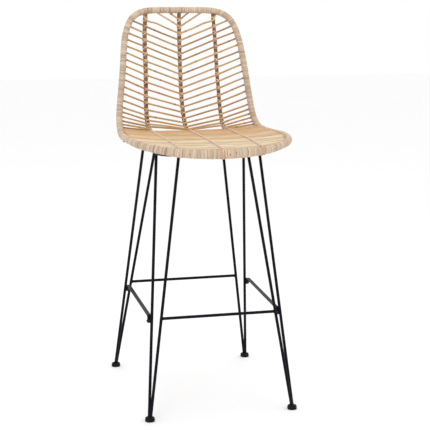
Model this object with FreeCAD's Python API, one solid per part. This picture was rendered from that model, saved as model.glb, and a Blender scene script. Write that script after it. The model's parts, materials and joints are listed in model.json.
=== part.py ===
import FreeCAD, Part
import math
import os

# Bar stool: a rattan bucket shell on a black steel rod base with a footrest rail all round.
# Millimetres, +Z up, the sitter faces -Y, the floor is Z = 0 and the origin lies under the
# middle of the overall box. The design is mirrored about X = 0 except for the rib thickness.

V = FreeCAD.Vector

# ---- driving dimensions ------------------------------------------------------------------
CENTRE_SHIFT = -10.25         # brings the middle of the overall depth to Y = 0
HOOP_DIA = 19.0               # wrapped pole round the back
SEAT_RIM_WIDTH = 19.0         # wrapped pole round the seat, across
SEAT_RIM_HEIGHTS = (19.5, 21.0, 26.0, 21.0, 19.5)    # back, side front, middle front and on
RIB_RADIUS = {"left": 6.5, "centre": 6.0, "right": 5.5}
SPINDLE_RADIUS = 2.8
SPINDLE_ROWS = 22
CENTRE_ROWS = 20              # the rows after these run from the rim to a side rib only
PAIR_NODES = 19               # rows in a node of their own; the lowest rows share one
FIRST_ON_CENTRE = 20.0        # distance down the centre rib to the first row
CENTRE_PITCH = 21.0
CENTRE_LOWEST = 408.0         # distance of the last row on the centre rib
FOURTH_ON_SIDE = 36.0         # distance down a side rib to the fourth row
SIDE_PITCH = 21.5
SIDE_LOW_PITCH = 16.0
FIFTH_ON_RIM_Z = 1075.0       # height at which the fifth row meets the rim
RIM_PITCH = 20.8
RIM_LOW_PITCH = 15.0
LOW_ROW = 17                  # below this row the rows lie closer together
RAIL_SPACING = 40.0           # the first rows end on the top rail, this far apart
RAIL_ROWS = 3
FIRST_SIDE_ROW = 3            # the rows above end before they reach a side rib
MEETING_OVERRUN = 2.0         # how far past the middle a cane is built before it is mitred
TIE_LENGTH = 7.0              # how far the short lowest canes reach past a side rib
BINDING_THICKNESS = 1.3       # peel wound on a rib where a spindle crosses it
BINDING_LENGTH = 7.0
SLAT_COUNT = 13
SLAT_THICKNESS = 4.0
SEAT_DISH = 10.0              # how much higher the slats lie at DISH_REACH from the middle
DISH_REACH = 210.0
DISH_STATIONS = (-240, -180, -120, -60, 0, 60, 120, 180, 240)
SLAT_GAP = 1.0
SLAT_REAR_Y = 146.0
SLAT_FRONT_Y = -247.0
STITCH_X = (-118.0, 0.0, 118.0)
STITCH_WIDTH = 5.0
STITCH_THICKNESS = 1.0
STITCH_STATIONS = [146.0, 90.0, 40.0, -10.0, -60.0, -105.0, -150.0, -185.0, -215.0]
STITCH_FRONT_Y = {-118.0: -232.5, 0.0: -249.5, 118.0: -232.5}
ROD_RADIUS = 4.25             # all steel rods
RING_Z = 728.75
RING_HALF = 151.0
RING_CENTRE_Y = -2.0
RING_CORNER = 56.0
LEG_END_Z = 8.5               # axis of the bend at the bottom of a hairpin leg
LEG_END_HALF_GAP = 2.6
GLIDE_RADIUS = 13.5
GLIDE_HEIGHT = 12.0
GLIDE_TOP_ROUNDING = 4.5
GLIDE_FOOT_CHAMFER = 0.8
RAIL_Z = {"front": 281.5, "back": 285.5}
BAR_Z = 284.0                 # middle of the side bars, which are flat strips
BAR_THICKNESS = 3.0
BAR_WIDTH = 11.0
BEND_RADIUS = 6.0
BEND_RUN = 12.0               # straight length between a bend and the skewed middle run
TONGUE_LENGTH = 21.0          # length below the bend
TONGUE_OFFSET = 6.5           # sideways, from the leg rod's axis
BOLT_OFFSET = 8.4             # sideways, from the leg rod's axis
BOLT_DROP = 14.5              # below the bend
BOLT_RADIUS = 2.0
BOLT_HEAD_RADIUS = 3.8
BOLT_HEAD_HEIGHT = 2.8
BOLT_HEAD_ROUNDING = 2.0
BOLT_END = 1.8                # length that shows beyond the nut
HOLE_PLAY = 0.2               # extra radius of a bolt or screw hole
NUT_ACROSS_FLATS = 7.0
NUT_THICKNESS = 3.2
EAR_THICKNESS = 2.0           # bracket ear welded to the leg rod
EAR_HEIGHT = 11.0
EAR_REACH = 10.9              # from the bolt to the ear's far edge, past the leg rod's axis
CROSS_POLES = {40.0: (170.0, 6.7), -110.0: (158.0, 5.3)}   # y: half length and radius
TAB_WIDTH = 22.0
TAB_LENGTH = 34.0
TAB_THICKNESS = 2.5
TAB_INSET = 2.0               # outer end of a tab, inside the ring's axis
SCREW_INSET = 6.0             # inside the middle of the tab
SCREW_RADIUS = 2.0
SCREW_IN_POLE = 9.0
SCREW_BELOW_POLE = 1.5        # shank length in the tab
SCREW_HEAD_RADIUS = 4.0
SCREW_HEAD_HEIGHT = 2.6
PEG_RADIUS = 2.6
PEG_DROP = 4.5
PEG_X = 226.0
PEG_Y = 2.0
PEG_TOP_Z = 755.5
CLEAR = 0.1                   # gap left where two pieces of the same body butt together
TIGHT = 0.05                  # gap left where two pieces bear on each other
THREAD_GAP = 0.02             # gap round a thread
OVERSIZE = 800.0              # longer than the stool's shell is high, for cutting shapes

# Foot and upper rod positions of the left-hand legs, (x, y); the upper ones at UPPER_Z
UPPER_Z = 644.0
LEGS = {
    "front": {"foot": (-207.0, -249.0), "across": (-112.0, -164.7), "side": (-157.2, -109.0)},
    "back": {"foot": (-213.4, 276.5), "across": (-115.3, 163.7), "side": (-160.3, 107.7)},
}

# Right half of the rim, top centre to front centre
RIM_POINTS = [
    (0, 283, 1120.5), (60, 282.5, 1120.5), (105, 278, 1118), (133, 268, 1110),
    (153, 257, 1095), (166, 249, 1074), (175, 241.5, 1048), (181, 231.5, 1020),
    (185.5, 220.5, 986), (189.5, 210.5, 951), (194, 203, 915), (198.5, 197.5, 879),
    (203.5, 190.5, 843), (207.5, 179, 809), (210.5, 161, 787), (213, 136, 774),
    (217.5, 97, 767), (223, 45, 765), (227, -15, 766), (228, -70, 767),
    (225, -122, 766), (216, -162, 763), (199, -192, 759), (172, -217, 754),
    (135, -237, 748), (90, -252, 744.5), (45, -260, 742.5), (0, -262.5, 742),
]
HOOP_LAST = 15                # the back hoop ends and the seat rim starts at this point
CORNER_POINT = 21             # front corner of the seat

# Rib axes, top to front
CENTRE_RIB = [
    (0, 282, 1110.7), (0, 281, 1060), (0, 276.5, 999), (0, 269, 938), (0, 258, 877),
    (0, 242.5, 832), (0, 227, 803), (0, 208, 779), (0, 186, 763), (0, 160, 755.5),
    (0, 120, 753.5), (0, 40, 753.3), (0, -60, 752.2), (0, -150, 749.2), (0, -215, 746),
    (0, -251.2, 743.6),
]
SIDE_RIB = [
    (106, 276.5, 1107.7), (110, 272, 1053), (111.5, 262, 997), (112, 250.5, 942),
    (114, 240.5, 886), (116, 229.5, 831), (116.5, 215, 797), (117, 200, 776),
    (118, 180, 762.5), (118.5, 152, 755.5), (119, 113, 753.5), (119, 40, 753.3),
    (118, -60, 752.2), (116.5, -150, 749.2), (115.5, -205, 746.5), (115, -233.8, 745),
]
# Top of the seat slats from rear to front, (y, z)
SEAT_TOP = [(150, 765.2), (40, 763.6), (-60, 762.6), (-150, 759.8), (-215, 756.8), (-250, 754.8)]

os.makedirs("parts", exist_ok=True)


# ---- helpers -----------------------------------------------------------------------------
def vec(p):
    return V(p[0], p[1], p[2])


def mirrored(shape):
    """The same piece on the other side of the stool."""
    return shape.mirror(V(0, 0, 0), V(1, 0, 0))


def smooth(points):
    curve = Part.BSplineCurve()
    curve.interpolate([vec(p) for p in points])
    return curve


def straight_rod(a, b, radius):
    return Part.makeCylinder(radius, a.distanceToPoint(b), a, b - a)


def round_pole(curve, first, last, radius):
    """A pole of round section along part of a curve."""
    path = Part.Wire([curve.toShape(first, last)])
    start = curve.value(first)
    tangent = curve.tangent(first)[0]
    section = Part.Wire([Part.makeCircle(radius, start, tangent)])
    return path.makePipeShell([section], True, True)


def oval_pole(curve, stations, width, heights):
    """A pole of oval section whose height changes between stations along a curve."""
    path = Part.Wire([curve.toShape(stations[0], stations[-1])])
    sweep = Part.BRepOffsetAPI.MakePipeShell(path)
    sweep.setBiNormalMode(V(0, 0, 1))
    for station, height in zip(stations, heights):
        middle = curve.value(station)
        tangent = curve.tangent(station)[0]
        across = tangent.cross(V(0, 0, 1)).normalize()
        upright = across.cross(tangent).normalize()
        top = middle + upright * (height / 2)
        oval = Part.Ellipse(top, middle + across * (width / 2), middle)
        sweep.add(Part.Wire([oval.toShape()]))
    sweep.build()
    sweep.makeSolid()
    return sweep.shape()


def save(name, *solids):
    """Write one node, moved into the shared frame."""
    shape = solids[0] if len(solids) == 1 else Part.makeCompound(list(solids))
    placed = shape.copy()
    placed.translate(V(0, CENTRE_SHIFT, 0))
    placed.exportStep("parts/%s.step" % name)


def seat_top(y):
    """Height of the slats' top face at y, along the middle of the seat."""
    for (y0, z0), (y1, z1) in zip(SEAT_TOP, SEAT_TOP[1:]):
        if y >= y1:
            return z0 + (z1 - z0) * (y - y0) / (y1 - y0)
    return SEAT_TOP[-1][1]


def dish(x):
    """How much higher than the middle the slats lie at x."""
    return SEAT_DISH * (abs(x) / DISH_REACH) ** 3


# ---- rim ---------------------------------------------------------------------------------
left_half = [(-x, y, z) for x, y, z in RIM_POINTS]
hoop_points = left_half[HOOP_LAST + 1:0:-1] + RIM_POINTS[:HOOP_LAST + 2]
hoop_curve = smooth(hoop_points)
hoop_ends = [hoop_curve.parameter(vec(p)) for p in (left_half[HOOP_LAST], RIM_POINTS[HOOP_LAST])]
back_hoop = round_pole(hoop_curve, hoop_ends[0], hoop_ends[1], HOOP_DIA / 2)

seat_points = RIM_POINTS[HOOP_LAST - 1:] + left_half[-2:HOOP_LAST - 2:-1]
seat_curve = smooth(seat_points)
stops = (RIM_POINTS[HOOP_LAST], RIM_POINTS[CORNER_POINT], RIM_POINTS[-1],
         left_half[CORNER_POINT], left_half[HOOP_LAST])
seat_stations = [seat_curve.parameter(vec(p)) for p in stops]
seat_ends = (seat_stations[0], seat_stations[-1])
seat_rim = oval_pole(seat_curve, seat_stations, SEAT_RIM_WIDTH, SEAT_RIM_HEIGHTS)
back_hoop = back_hoop.cut(seat_rim)
save("rim_back_hoop", back_hoop)
save("rim_seat_pole", seat_rim)

# ---- ribs --------------------------------------------------------------------------------
rim_solids = Part.makeCompound([back_hoop, seat_rim])
rib_curves = {
    "left": smooth([(-x, y, z) for x, y, z in SIDE_RIB]),
    "centre": smooth(CENTRE_RIB),
    "right": smooth(SIDE_RIB),
}
for side, curve in rib_curves.items():
    rib = round_pole(curve, curve.FirstParameter, curve.LastParameter, RIB_RADIUS[side])
    save("rib_" + side, rib.cut(rim_solids))


# ---- back spindles -----------------------------------------------------------------------
def evenly_then_close(row, first_row, first, pitch, low_pitch):
    """Distance of a row whose pitch shrinks below LOW_ROW."""
    upper = min(row, LOW_ROW) - first_row
    lower = max(row - LOW_ROW, 0)
    return first + pitch * upper + low_pitch * lower


def on_centre(row):
    return min(FIRST_ON_CENTRE + CENTRE_PITCH * (row - 1), CENTRE_LOWEST)


def on_side(row):
    return evenly_then_close(row, 4, FOURTH_ON_SIDE, SIDE_PITCH, SIDE_LOW_PITCH)


def at_distance(curve, distance):
    return curve.parameterAtDistance(distance, curve.FirstParameter)


def over_rib(side, distance):
    """Where a spindle crosses a rib: on its binding, on the sitter's side."""
    curve = rib_curves[side]
    param = at_distance(curve, distance)
    tangent = curve.tangent(param)[0]
    outward = tangent.cross(V(1, 0, 0)).normalize()
    lift = RIB_RADIUS[side] + BINDING_THICKNESS + SPINDLE_RADIUS + CLEAR
    return curve.value(param) + outward * lift


def hoop_param_at_height(z):
    """Point of the right-hand side of the hoop at height z."""
    low, high = hoop_curve.parameter(vec(RIM_POINTS[2])), hoop_ends[1]
    while high - low > 1e-6:
        middle = (low + high) / 2
        if hoop_curve.value(middle).z > z:
            low = middle
        else:
            high = middle
    return low


def rim_end(row):
    """Point of the rim's axis that a right-hand spindle runs to."""
    if row <= RAIL_ROWS:
        flat = hoop_curve.parameter(V(RAIL_SPACING * row, 280, 1118))
        return hoop_curve.value(flat)
    fifth = hoop_curve.length(hoop_curve.FirstParameter, hoop_param_at_height(FIFTH_ON_RIM_Z))
    along = evenly_then_close(row, 5, fifth, RIM_PITCH, RIM_LOW_PITCH)
    return hoop_curve.value(hoop_curve.parameterAtDistance(along, hoop_curve.FirstParameter))


def bent_rod(start, bend, end, radius):
    """A rod of two straight runs, rounded where they meet."""
    ball = Part.makeSphere(radius, bend)
    return straight_rod(start, bend, radius).fuse([ball, straight_rod(bend, end, radius)])


def spindle(row, side):
    """One cane, built on the right: to the rim from the centre rib or, low down, a side rib."""
    end = rim_end(row)
    crossing = over_rib(side, on_side(row))
    crossing = V(abs(crossing.x), crossing.y, crossing.z)
    points = [crossing] if row >= FIRST_SIDE_ROW else []
    if row <= CENTRE_ROWS:
        points.insert(0, over_rib("centre", on_centre(row)))
    back = (points[-1] - end).normalize()
    points.append(end + back * (HOOP_DIA / 2 + CLEAR))
    overrun = TIE_LENGTH if row > CENTRE_ROWS else MEETING_OVERRUN
    start = points[0] + (points[0] - points[1]).normalize() * overrun
    if len(points) == 3:
        cane = bent_rod(start, points[1], points[2], SPINDLE_RADIUS)
    else:
        cane = straight_rod(start, points[1], SPINDLE_RADIUS)
    corner = V(CLEAR / 2 - OVERSIZE, -OVERSIZE / 2, SEAT_TOP[-1][1])
    other_half = Part.makeBox(OVERSIZE, OVERSIZE, OVERSIZE, corner)
    cane = cane.cut(other_half)
    return mirrored(cane) if side == "left" else cane


for row in range(1, PAIR_NODES + 1):
    save("spindle_pair_%02d" % row, spindle(row, "left"), spindle(row, "right"))
low_rows = range(PAIR_NODES + 1, SPINDLE_ROWS + 1)
save("spindle_low_rows", *[spindle(row, side) for row in low_rows for side in ("left", "right")])


def binding(side, distance):
    """Peel wound round a rib: a short sleeve under a crossing."""
    curve = rib_curves[side]
    param = at_distance(curve, distance)
    tangent = curve.tangent(param)[0]
    start = curve.value(param) - tangent * (BINDING_LENGTH / 2)
    inner = RIB_RADIUS[side] + TIGHT
    sleeve = Part.makeCylinder(inner + BINDING_THICKNESS, BINDING_LENGTH, start, tangent)
    return sleeve.cut(Part.makeCylinder(inner, BINDING_LENGTH, start, tangent))


sleeves = [binding("centre", on_centre(row)) for row in range(1, CENTRE_ROWS)]
for side in ("left", "right"):
    sleeves += [binding(side, on_side(row)) for row in range(FIRST_SIDE_ROW, SPINDLE_ROWS + 1)]
save("rib_bindings", *sleeves)

# ---- seat slats --------------------------------------------------------------------------
# The slats fill the outline inside the seat rim, cut from a well that runs up through it.
WELL_Z = (700, 820)
OUTLINE_STEPS = 48
outline = []
for i in range(OUTLINE_STEPS + 1):
    param = seat_ends[0] + (seat_ends[1] - seat_ends[0]) * i / OUTLINE_STEPS
    point = seat_curve.value(param)
    tangent = seat_curve.tangent(param)[0]
    inward = V(tangent.y, -tangent.x, 0).normalize()
    spot = point + inward * (SEAT_RIM_WIDTH / 2 + CLEAR)
    outline.append(V(spot.x, spot.y, WELL_Z[0]))
inner_curve = Part.BSplineCurve()
inner_curve.interpolate(outline)
behind_left = V(outline[-1].x, SLAT_REAR_Y + SLAT_GAP, WELL_Z[0])
behind_right = V(outline[0].x, SLAT_REAR_Y + SLAT_GAP, WELL_Z[0])
closing = Part.makePolygon([outline[-1], behind_left, behind_right, outline[0]])
well_floor = Part.Face(Part.Wire([inner_curve.toShape()] + closing.Edges))
well = well_floor.extrude(V(0, 0, WELL_Z[1] - WELL_Z[0]))

slat_pitch = (SLAT_REAR_Y - SLAT_FRONT_Y) / SLAT_COUNT
slat_width = slat_pitch - SLAT_GAP
for i in range(SLAT_COUNT):
    front = SLAT_REAR_Y - slat_pitch * (i + 1) + SLAT_GAP / 2
    rear = front + slat_width
    stations = [(x, front, seat_top(front) + dish(x)) for x in DISH_STATIONS]
    down = V(0, 0, -SLAT_THICKNESS)
    upper_edge = smooth(stations).toShape()
    lower_edge = upper_edge.translated(down)
    left_side, right_side = [Part.makeLine(vec(p), vec(p) + down) for p in (stations[0], stations[-1])]
    profile = Part.Wire([upper_edge, right_side, lower_edge, left_side])
    slope = V(0, slat_width, seat_top(rear) - seat_top(front))
    save("seat_slat_%02d" % (i + 1), Part.Face(profile).extrude(slope).common(well))

# ---- stitching over the slats ------------------------------------------------------------
ribbons = []
for x in STITCH_X:
    raised = dish(abs(x) + STITCH_WIDTH / 2) + CLEAR
    stations = STITCH_STATIONS + [STITCH_FRONT_Y[x]]
    lower = [V(x - STITCH_WIDTH / 2, y, seat_top(y) + raised) for y in stations]
    upper = [p + V(0, 0, STITCH_THICKNESS) for p in reversed(lower)]
    profile = Part.makePolygon(lower + upper + [lower[0]])
    ribbons.append(Part.Face(profile).extrude(V(STITCH_WIDTH, 0, 0)))
save("seat_stitching", *ribbons)

# ---- poles under the seat ----------------------------------------------------------------
ring_top = RING_Z + ROD_RADIUS
tab_x = RING_HALF - TAB_INSET - TAB_LENGTH / 2
poles, tabs, screws = [], [], []
for y, (half, pole_radius) in CROSS_POLES.items():
    pole_z = ring_top + pole_radius + CLEAR
    pole = straight_rod(V(-half, y, pole_z), V(half, y, pole_z), pole_radius)
    for sign in (-1, 1):
        base = V(sign * (tab_x - SCREW_INSET), y, ring_top)
        under = base - V(0, 0, TAB_THICKNESS)
        pole = pole.cut(Part.makeCylinder(SCREW_RADIUS + THREAD_GAP, SCREW_IN_POLE, base))
        tab = Part.makeBox(TAB_LENGTH, TAB_WIDTH, TAB_THICKNESS)
        tab.translate(V(sign * tab_x - TAB_LENGTH / 2, y - TAB_WIDTH / 2, under.z))
        tabs.append(tab.cut(Part.makeCylinder(SCREW_RADIUS + HOLE_PLAY, TAB_THICKNESS, under)))
        shank = Part.makeCylinder(SCREW_RADIUS, SCREW_BELOW_POLE + SCREW_IN_POLE, under)
        low = under - V(0, 0, SCREW_HEAD_HEIGHT)
        head = Part.makeCylinder(SCREW_HEAD_RADIUS, SCREW_HEAD_HEIGHT, low)
        screws.append(shank.fuse(head))
    poles.append(pole)
save("seat_cross_poles", *poles)
save("seat_screws", *screws)

# Wooden pegs that pin the wrapping under the sides of the seat rim
peg_foot = V(PEG_X, PEG_Y, PEG_TOP_Z - PEG_DROP)
peg = Part.makeCylinder(PEG_RADIUS, PEG_DROP, peg_foot)
save("rim_pegs", peg, mirrored(peg))

# ---- steel ring --------------------------------------------------------------------------
half = RING_HALF
inner = half - RING_CORNER
quarter = RING_CORNER * math.sqrt(0.5)
ring_edges = []
for turn in range(4):
    angle = math.radians(90 * turn)

    def spin(x, y):
        return V(x * math.cos(angle) - y * math.sin(angle),
                 x * math.sin(angle) + y * math.cos(angle) + RING_CENTRE_Y, RING_Z)

    ring_edges.append(Part.makeLine(spin(half, -inner), spin(half, inner)))
    ring_edges.append(Part.Arc(spin(half, inner), spin(inner + quarter, inner + quarter),
                               spin(inner, half)).toShape())
ring_path = Part.Wire(ring_edges)
ring_section = Part.Wire([Part.makeCircle(ROD_RADIUS, V(half, RING_CENTRE_Y - inner, RING_Z),
                                          V(0, 1, 0))])
ring = ring_path.makePipeShell([ring_section], True, True)
save("seat_ring", ring)
save("seat_tabs", *[max(tab.cut(ring).Solids, key=lambda s: s.Volume) for tab in tabs])

# ---- hairpin legs and glides -------------------------------------------------------------
legs = {}
for end, spec in LEGS.items():
    foot = spec["foot"]
    uppers = [V(spec[key][0], spec[key][1], UPPER_Z) for key in ("across", "side")]
    apart = (uppers[1] - uppers[0]).normalize()
    bottoms = []
    for upper, sign in zip(uppers, (-1, 1)):
        bottoms.append(V(foot[0], foot[1], LEG_END_Z) + apart * (sign * LEG_END_HALF_GAP))
    rods, axes = [], {}
    for key, bottom, upper in zip(("across", "side"), bottoms, uppers):
        reach = (RING_Z - LEG_END_Z) / (UPPER_Z - LEG_END_Z)
        top = bottom + (upper - bottom) * reach
        rods.append(straight_rod(bottom, top, ROD_RADIUS))
        axes[key] = (bottom, top)
    bend = straight_rod(bottoms[0], bottoms[1], ROD_RADIUS)
    balls = [Part.makeSphere(ROD_RADIUS, p) for p in bottoms]
    leg = rods[0].fuse([rods[1], bend] + balls).cut(ring)
    leg = max(leg.Solids, key=lambda s: s.Volume)
    glide = Part.makeCylinder(GLIDE_RADIUS, GLIDE_HEIGHT, V(foot[0], foot[1], 0))
    circles = [e for e in glide.Edges if isinstance(e.Curve, Part.Circle)]
    top_edge = max(circles, key=lambda e: e.Curve.Center.z)
    low_edge = min(circles, key=lambda e: e.Curve.Center.z)
    glide = glide.makeFillet(GLIDE_TOP_ROUNDING, [top_edge])
    glide = glide.makeChamfer(GLIDE_FOOT_CHAMFER, [low_edge])
    socket_radius = ROD_RADIUS + CLEAR
    for bottom, top in axes.values():
        way = (top - bottom).normalize()
        base = bottom - way * socket_radius
        glide = glide.cut(straight_rod(base, top, socket_radius))
    glide = glide.cut(straight_rod(bottoms[0], bottoms[1], socket_radius))
    glide = max(glide.Solids, key=lambda s: s.Volume)
    legs[end] = {"leg": leg, "axes": axes}
    for side, place in (("left", lambda s: s), ("right", mirrored)):
        save("leg_%s_%s" % (end, side), place(leg))
        save("glide_%s_%s" % (end, side), place(glide))


def on_axis(axis, z):
    bottom, top = axis
    return bottom + (top - bottom) * ((z - bottom.z) / (top.z - bottom.z))


# ---- footrest rails ----------------------------------------------------------------------
for end in ("front", "back"):
    left_point = on_axis(legs[end]["axes"]["across"], RAIL_Z[end])
    right_point = V(-left_point.x, left_point.y, left_point.z)
    rail = straight_rod(left_point, right_point, ROD_RADIUS)
    rail = rail.cut([legs[end]["leg"], mirrored(legs[end]["leg"])])
    rail = max(rail.Solids, key=lambda s: s.Volume)
    save("footrest_rail_" + end, rail)

# ---- bolted side bars --------------------------------------------------------------------
# A flat strip whose ends are bent down. Each end is bolted to an ear that is welded to the
# inner side of the leg rod. The bolts sit left of the front rods, right of the back ones.
def plate(points, width, thickness, x):
    """A flat strip of constant width in X whose centre line runs through YZ points."""
    upper, lower = [], []
    for i, point in enumerate(points):
        ways = []
        if i + 1 < len(points):
            ways.append((points[i + 1] - point).normalize())
        if i > 0:
            ways.append((point - points[i - 1]).normalize())
        normals = [V(0, -way.z, way.y) for way in ways]
        mean = (normals[0] + normals[-1]).normalize()
        reach = thickness / 2 / mean.dot(normals[0])
        upper.append(V(0, point.y, point.z) + mean * reach)
        lower.append(V(0, point.y, point.z) - mean * reach)
    face = Part.Face(Part.makePolygon(upper + lower[::-1] + [upper[0]]))
    strip = face.extrude(V(width, 0, 0))
    strip.translate(V(x - width / 2, 0, 0))
    return strip


def eased(before, corner, after, steps=6):
    """Points round a bend."""
    into = (before - corner).normalize() * BEND_RADIUS
    out = (after - corner).normalize() * BEND_RADIUS
    points = [before]
    for i in range(steps + 1):
        t = i / steps
        points.append(corner + into * (1 - t) ** 2 + out * t ** 2)
    return points + [after]


def flat_run(a, b):
    """The middle of a side bar: a strip between two points, its ends square to Y."""
    reach = V(BAR_WIDTH / 2, 0, 0)
    drop = V(0, 0, -BAR_THICKNESS / 2)
    corners = [a - reach, a + reach, b + reach, b - reach, a - reach]
    face = Part.Face(Part.makePolygon([p + drop for p in corners]))
    return face.extrude(V(0, 0, BAR_THICKNESS))


def hexagon_prism(base, way, across_flats, thickness):
    sideways = V(1, 0, 0)
    upward = way.cross(sideways).normalize()
    reach = across_flats / math.sqrt(3)
    corners = []
    for k in range(7):
        turn = math.radians(60 * k)
        corners.append(base + sideways * (reach * math.cos(turn)) + upward * (reach * math.sin(turn)))
    return Part.Face(Part.makePolygon(corners)).extrude(way * thickness)


def bar_end(axis, inward, sign):
    """One end of a side bar: its bent strip, where that ends, the ear, the bolt and the nut."""
    bottom, top = axis
    down = V(0, bottom.y - top.y, bottom.z - top.z).normalize()
    normal = V(0, -down.z, down.y)
    if normal.y * inward < 0:
        normal = normal * -1
    at_bar = on_axis(axis, BAR_Z)
    face = ROD_RADIUS + EAR_THICKNESS + 2 * CLEAR + BAR_THICKNESS / 2
    corner = V(0, at_bar.y, at_bar.z) + normal * face
    corner = corner + down * ((corner.z - BAR_Z) / -down.z)
    x = at_bar.x + sign * TONGUE_OFFSET
    tip = corner + down * TONGUE_LENGTH
    root = corner + V(0, inward * BEND_RUN, 0)
    pad = plate(eased(tip, corner, root), BAR_WIDTH, BAR_THICKNESS, x)
    strip_end = V(x, root.y, corner.z)

    bolt_mid = corner + down * BOLT_DROP
    bolt_x = on_axis(axis, bolt_mid.z).x + sign * BOLT_OFFSET
    bolt_at = V(bolt_x, bolt_mid.y, bolt_mid.z)
    half = BAR_THICKNESS / 2
    stack = BAR_THICKNESS + EAR_THICKNESS + NUT_THICKNESS + BOLT_END
    drill_start = bolt_at - normal * stack
    drill = Part.makeCylinder(BOLT_RADIUS + HOLE_PLAY, 2 * stack, drill_start, normal)
    ear_mid = bolt_at - normal * (half + CLEAR + EAR_THICKNESS / 2)
    rise = down * (EAR_HEIGHT / 2)
    ear_x = bolt_x - sign * EAR_REACH / 2
    ear = plate([ear_mid - rise, ear_mid + rise], EAR_REACH, EAR_THICKNESS, ear_x)
    ear_base = ear_mid - normal * (EAR_THICKNESS / 2)
    ear = ear.fuse(Part.makeCylinder(EAR_HEIGHT / 2, EAR_THICKNESS, ear_base, normal))
    ear = ear.removeSplitter().cut(drill)
    head_base = bolt_at + normal * (half + TIGHT)
    head = Part.makeCylinder(BOLT_HEAD_RADIUS, BOLT_HEAD_HEIGHT, head_base, normal)
    crown = max(head.Edges, key=lambda e: (e.CenterOfMass.dot(normal), e.Length))
    head = head.makeFillet(BOLT_HEAD_ROUNDING, [crown])
    shank = Part.makeCylinder(BOLT_RADIUS, stack, head_base, normal * -1)
    nut = hexagon_prism(ear_base - normal * TIGHT, normal * -1, NUT_ACROSS_FLATS, NUT_THICKNESS)
    nut = nut.cut(Part.makeCylinder(BOLT_RADIUS + THREAD_GAP, 2 * stack, drill_start, normal))
    return {"pad": pad.cut(drill), "start": strip_end, "ear": ear,
            "bolt": head.fuse(shank), "nut": nut}


ears, bolts, nuts = [], [], []
for side, place in (("left", lambda s: s), ("right", mirrored)):
    ends = []
    for end, inward, sign in (("front", 1, -1), ("back", -1, 1)):
        points = legs[end]["axes"]["side"]
        if side == "right":
            points = [V(-p.x, p.y, p.z) for p in points]
        made = bar_end(points, inward, sign)
        leg = place(legs[end]["leg"])
        ears.append(made["ear"].cut(leg))
        bolts.append(made["bolt"])
        nuts.append(made["nut"])
        ends.append(made)
    middle = flat_run(ends[0]["start"], ends[1]["start"])
    bar = middle.fuse([made["pad"] for made in ends])
    save("footrest_bar_" + side, bar.removeSplitter())
save("bar_ears", *ears)
save("bar_bolts", *bolts)
save("bar_nuts", *nuts)
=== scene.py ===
import json
import math
import random
from bisect import bisect_right

import bmesh
import bpy
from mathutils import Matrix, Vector


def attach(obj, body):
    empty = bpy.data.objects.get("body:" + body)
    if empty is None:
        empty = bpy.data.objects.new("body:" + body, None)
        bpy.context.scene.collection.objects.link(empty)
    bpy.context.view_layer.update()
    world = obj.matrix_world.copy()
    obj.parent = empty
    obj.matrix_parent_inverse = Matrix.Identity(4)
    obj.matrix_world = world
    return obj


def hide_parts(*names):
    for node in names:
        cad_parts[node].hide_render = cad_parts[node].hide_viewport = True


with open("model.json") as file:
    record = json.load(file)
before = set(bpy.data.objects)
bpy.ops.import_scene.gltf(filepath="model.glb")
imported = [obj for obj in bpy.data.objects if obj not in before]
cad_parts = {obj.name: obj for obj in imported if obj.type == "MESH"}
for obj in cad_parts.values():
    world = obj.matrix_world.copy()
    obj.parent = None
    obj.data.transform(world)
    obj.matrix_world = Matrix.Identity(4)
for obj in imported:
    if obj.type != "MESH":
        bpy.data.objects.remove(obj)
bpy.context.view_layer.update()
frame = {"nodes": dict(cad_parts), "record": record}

# The looks of a rattan bar stool: a bucket shell of wrapped rim poles, brown ribs, golden canes
# and split-cane seat strands, all bound with peel, on a powder-coated steel rod base.
# Shapes are worked out in millimetres in the design frame and moved into the shared frame,
# in metres, when each mesh is made.

dice = random.Random(20)

# ---- driving dimensions, mm ----------------------------------------------------------------
CENTRE_SHIFT = -10.25
HOOP_RADIUS = 9.5             # the wrapped pole round the back
SEAT_RIM_WIDTH = 19.0
SEAT_RIM_HEIGHTS = (19.5, 21.0, 26.0, 21.0, 19.5)
RIB_RADIUS = {"left": 6.5, "centre": 6.0, "right": 5.5}
CANE_RADIUS = 2.8
BINDING_THICKNESS = 1.3       # peel between a rib and the canes that cross it
CLEAR = 0.1
SLAT_COUNT = 13
STRANDS_PER_SLAT = 3
SLAT_REAR_Y = 146.0
SLAT_FRONT_Y = -247.0
SEAT_DISH = 10.0              # how much higher the seat lies at DISH_REACH from the middle
DISH_REACH = 210.0
ROD_RADIUS = 4.25
RING_Z = 728.75
LEG_END_Z = 8.5
LEG_END_HALF_GAP = 2.6
UPPER_Z = 644.0
LEGS = {
    "front": {"foot": (-207.0, -249.0), "across": (-112.0, -164.7), "side": (-157.2, -109.0)},
    "back": {"foot": (-213.4, 276.5), "across": (-115.3, 163.7), "side": (-160.3, 107.7)},
}
RAIL_Z = {"front": 281.5, "back": 285.5}

# Right half of the rim, top centre to front centre
RIM_POINTS = [
    (0, 283, 1120.5), (60, 282.5, 1120.5), (105, 278, 1118), (133, 268, 1110),
    (153, 257, 1095), (166, 249, 1074), (175, 241.5, 1048), (181, 231.5, 1020),
    (185.5, 220.5, 986), (189.5, 210.5, 951), (194, 203, 915), (198.5, 197.5, 879),
    (203.5, 190.5, 843), (207.5, 179, 809), (210.5, 161, 787), (213, 136, 774),
    (217.5, 97, 767), (223, 45, 765), (227, -15, 766), (228, -70, 767),
    (225, -122, 766), (216, -162, 763), (199, -192, 759), (172, -217, 754),
    (135, -237, 748), (90, -252, 744.5), (45, -260, 742.5), (0, -262.5, 742),
]
HOOP_LAST = 15                # the back hoop ends and the seat rim starts at this point
CORNER_POINT = 21             # front corner of the seat

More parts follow.
